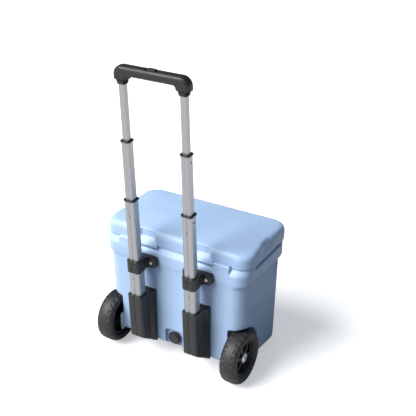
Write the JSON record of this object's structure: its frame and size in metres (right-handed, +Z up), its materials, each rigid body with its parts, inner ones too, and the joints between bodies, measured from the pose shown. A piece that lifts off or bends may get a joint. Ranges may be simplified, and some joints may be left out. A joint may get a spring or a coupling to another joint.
{
  "type": "cooler on wheels",
  "caption": "Hard-sided insulated cooler box with a hinged latched lid, rear wheels, a screw drain plug and a telescoping towing handle.",
  "frame": {"origin": "on the ground, in the middle of the whole object as seen from above", "axes": "+Z up, front (latch side) towards -Y, wheels and towing handle towards +Y, width along X"},
  "size_m": [0.524, 0.4068, 1.0157],
  "materials": {
    "shell": "satin",
    "foam": "matte",
    "tube_metal": "satin",
    "steel": "satin",
    "cap_metal": "polished",
    "spring_steel": "satin",
    "tyre": "matte",
    "rubber": "matte",
    "black_plastic": "satin"
  },
  "bodies": {
    "tub": {"tub_shell": "shell", "tub_liner": "shell", "tub_foam": "foam", "front_foot_left": "rubber", "front_foot_right": "rubber", "drain_bushing": "black_plastic", "latch_keeper": "black_plastic", "hinge_rod_left": "steel", "hinge_rod_right": "steel", "axle_left": "steel", "axle_right": "steel", "hub_cap_left": "cap_metal", "hub_cap_right": "cap_metal", "tube_clamp_left": "black_plastic", "tube_clamp_right": "black_plastic", "clamp_bolt_inner_left": "steel", "clamp_bolt_inner_right": "steel", "clamp_bolt_outer_left": "steel", "clamp_bolt_outer_right": "steel", "tube_sleeve_left": "black_plastic", "tube_sleeve_right": "black_plastic", "base_tube_left": "tube_metal", "base_tube_right": "tube_metal"},
    "lid": {"lid_shell": "shell", "lid_foam": "foam", "lid_port_plug": "black_plastic", "lid_gasket": "rubber", "latch_mount": "black_plastic", "latch_pin": "steel"},
    "latch": {"latch_lever": "black_plastic"},
    "wheel_left": {"tyre_left": "tyre", "rim_left": "black_plastic", "wheel_bush_left": "black_plastic"},
    "wheel_right": {"tyre_right": "tyre", "rim_right": "black_plastic", "wheel_bush_right": "black_plastic"},
    "drain_washer": {"drain_washer": "rubber"},
    "drain_plug": {"drain_plug": "black_plastic"},
    "lower_stage": {"lower_tube_left": "tube_metal", "lower_tube_right": "tube_metal", "lower_collar_left": "black_plastic", "lower_collar_right": "black_plastic", "lower_guide_left": "black_plastic", "lower_guide_right": "black_plastic"},
    "middle_stage": {"middle_tube_left": "tube_metal", "middle_tube_right": "tube_metal", "middle_collar_left": "black_plastic", "middle_collar_right": "black_plastic", "middle_guide_left": "black_plastic", "middle_guide_right": "black_plastic"},
    "upper_stage": {"upper_tube_left": "tube_metal", "upper_tube_right": "tube_metal", "upper_guide_left": "black_plastic", "upper_guide_right": "black_plastic", "grip": "black_plastic", "boot_left": "rubber", "boot_right": "rubber", "button_spring": "spring_steel"},
    "release": {"push_button": "rubber", "release_yoke": "tube_metal"}
  },
  "joints": [
    {"name": "lid_hinge", "type": "hinge", "parent": "tub", "child": "lid", "pos_m": [0, 0.0996, 0.404], "axis": [-1, 0, 0], "range_deg": [0, 80]},
    {"name": "latch_hinge", "type": "hinge", "parent": "lid", "child": "latch", "pos_m": [0, -0.1914, 0.4226], "axis": [-1, 0, 0], "range_deg": [0, 110]},
    {"name": "wheel_left_spin", "type": "hinge", "parent": "tub", "child": "wheel_left", "pos_m": [-0.2325, 0.0916, 0.088], "axis": [1, 0, 0], "continuous": true},
    {"name": "wheel_right_spin", "type": "hinge", "parent": "tub", "child": "wheel_right", "pos_m": [0.2325, 0.0916, 0.088], "axis": [1, 0, 0], "continuous": true},
    {"name": "lower_stage_slide", "type": "slide", "parent": "tub", "child": "lower_stage", "axis": [0, 0.0407, 0.9992], "range_m": [-0.207, 0]},
    {"name": "middle_stage_slide", "type": "slide", "parent": "lower_stage", "child": "middle_stage", "axis": [0, 0.0407, 0.9992], "range_m": [-0.185, 0]},
    {"name": "upper_stage_slide", "type": "slide", "parent": "middle_stage", "child": "upper_stage", "axis": [0, 0.0407, 0.9992], "range_m": [-0.169, 0]},
    {"name": "button_press", "type": "slide", "parent": "upper_stage", "child": "release", "axis": [0, -0.0407, -0.9992], "range_m": [0, 0.003], "stiffness_N_per_m": 3000, "springref_m": -0.003, "deforming": ["button_spring"]},
    {"name": "drain_washer_slide", "type": "slide", "parent": "tub", "child": "drain_washer", "axis": [0, 1, 0], "range_m": [0, 0.012]},
    {"name": "drain_plug_turn", "type": "hinge", "parent": "drain_washer", "child": "drain_plug", "pos_m": [0, 0.1016, 0.08], "axis": [0, 1, 0], "range_deg": [0, 1080]}
  ],
  "couplings": [
    {"joint": "drain_washer_slide", "follows": "drain_plug_turn", "m_per_rad": 0.00063662}
  ]
}
